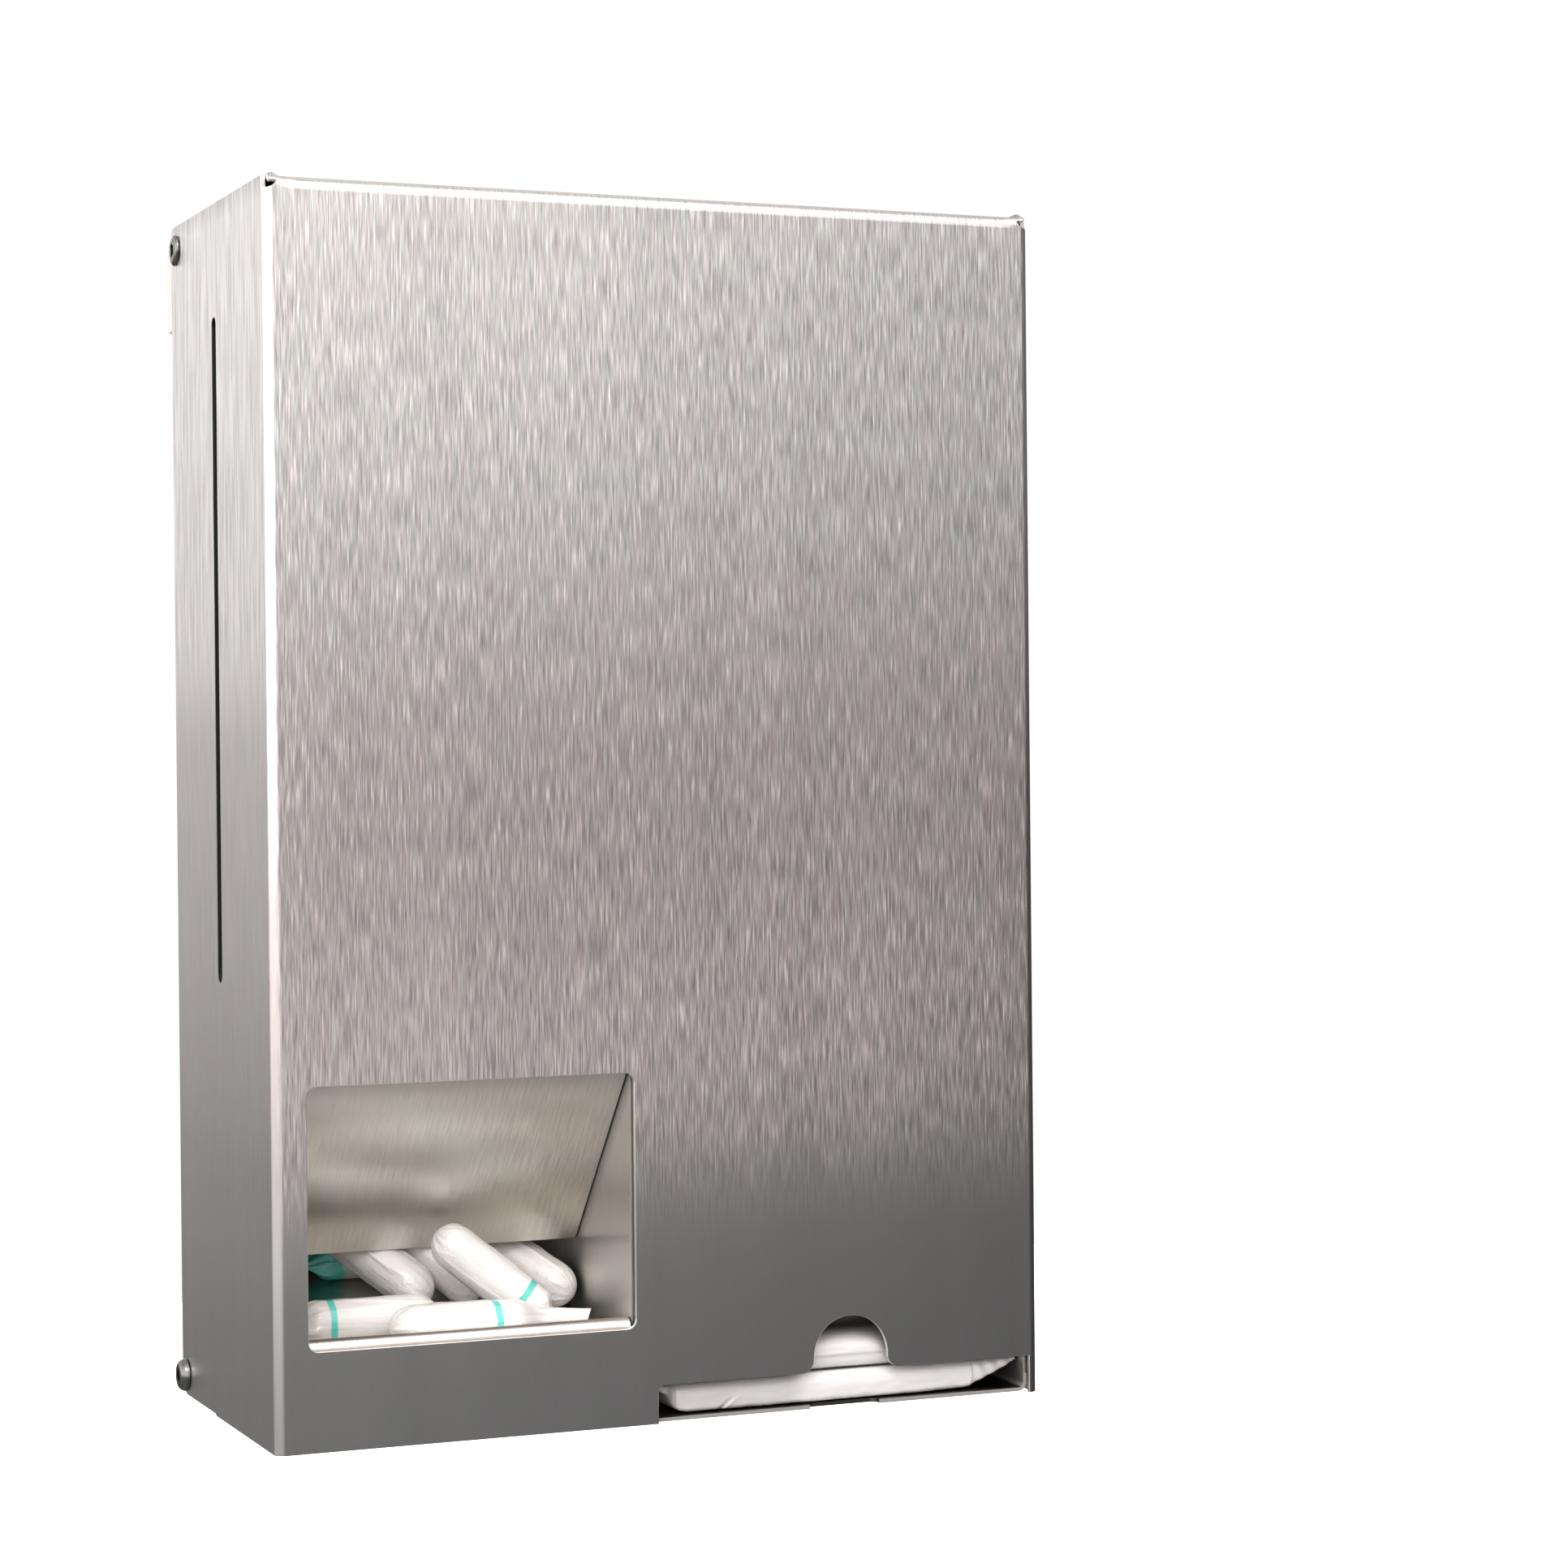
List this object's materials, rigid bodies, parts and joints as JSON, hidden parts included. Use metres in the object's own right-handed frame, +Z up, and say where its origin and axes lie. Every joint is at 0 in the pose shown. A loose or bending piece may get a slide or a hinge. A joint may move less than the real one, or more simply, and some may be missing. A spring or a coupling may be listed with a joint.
{
  "type": "tampon and pad dispenser",
  "caption": "Wall-hung free-vend dispenser in brushed steel: open tampon window on the left, pad slot with a thumb notch on the right, cover that tips forward for refilling.",
  "frame": {"origin": "middle of the hanging rail's wall face", "axes": "+X to the viewer's right, +Y into the wall, +Z up; the front faces -Y"},
  "size_m": [0.2598, 0.1284, 0.3809],
  "materials": {
    "brushed_steel": "vertical brushed grain, satin",
    "inner_steel": "smooth bright rolled sheet",
    "bright_steel": "plain bright stainless",
    "rivet_aluminium": "satin",
    "white_plastic": "moulded white",
    "nylon": "natural nylon",
    "black_rubber": "matt",
    "pad_film": "pearly film",
    "tampon_wrap": "clear pleated film over white, with a green-blue tear band"
  },
  "bodies": {
    "chassis": {"back_plate": "brushed_steel", "wall_rail": "brushed_steel", "hanging_hook_left": "brushed_steel", "hanging_hook_right": "brushed_steel", "hopper_side": "inner_steel", "hopper_front": "inner_steel", "tampon_tray": "inner_steel", "base_plate": "inner_steel", "pad_magazine": "inner_steel", "pivot_screw_left": "bright_steel", "pivot_screw_right": "bright_steel", "clamp_screw_left": "bright_steel", "clamp_screw_right": "bright_steel", "pivot_nut_left": "bright_steel", "pivot_nut_right": "bright_steel", "clamp_nut_left": "bright_steel", "clamp_nut_right": "bright_steel", "rivet_hopper_low": "rivet_aluminium", "rivet_hopper_mid": "rivet_aluminium", "rivet_hopper_top": "rivet_aluminium", "rivet_magazine_low": "rivet_aluminium", "rivet_magazine_mid": "rivet_aluminium", "rivet_magazine_top": "rivet_aluminium", "rivet_base": "rivet_aluminium", "rivet_magazine_foot_left": "rivet_aluminium", "rivet_magazine_foot_right": "rivet_aluminium", "rivet_hook_left_outer": "rivet_aluminium", "rivet_hook_left_inner": "rivet_aluminium", "rivet_hook_right_inner": "rivet_aluminium", "rivet_hook_right_outer": "rivet_aluminium", "rail_cap_left": "white_plastic", "rail_cap_right": "white_plastic", "pivot_washer_left": "nylon", "pivot_washer_right": "nylon", "clamp_washer_left": "nylon", "clamp_washer_right": "nylon", "wall_buffer_left": "black_rubber", "wall_buffer_right": "black_rubber", "pad_2": "pad_film", "pad_3": "pad_film", "pad_4": "pad_film", "pad_5": "pad_film", "pad_6": "pad_film", "pad_7": "pad_film", "pad_8": "pad_film", "tampon_2": "tampon_wrap", "tampon_3": "tampon_wrap", "tampon_4": "tampon_wrap", "tampon_5": "tampon_wrap", "tampon_6": "tampon_wrap", "tampon_7": "tampon_wrap", "tampon_8": "tampon_wrap"},
    "cover": {"front_cover": "brushed_steel"},
    "bottom_pad": {"pad_1": "pad_film"},
    "front_tampon": {"tampon_1": "tampon_wrap"}
  },
  "joints": [
    {"name": "cover_tilt", "type": "hinge", "parent": "chassis", "child": "cover", "pos_m": [0, -0.0167, -0.3534], "axis": [1, 0, 0], "range_deg": [0, 90]},
    {"name": "pad_draw", "type": "slide", "parent": "chassis", "child": "bottom_pad", "axis": [0, -1, 0], "range_m": [0, 0.1]},
    {"name": "tampon_take", "type": "slide", "parent": "chassis", "child": "front_tampon", "axis": [0, -0.5, 0.866], "range_m": [0, 0.09]}
  ]
}
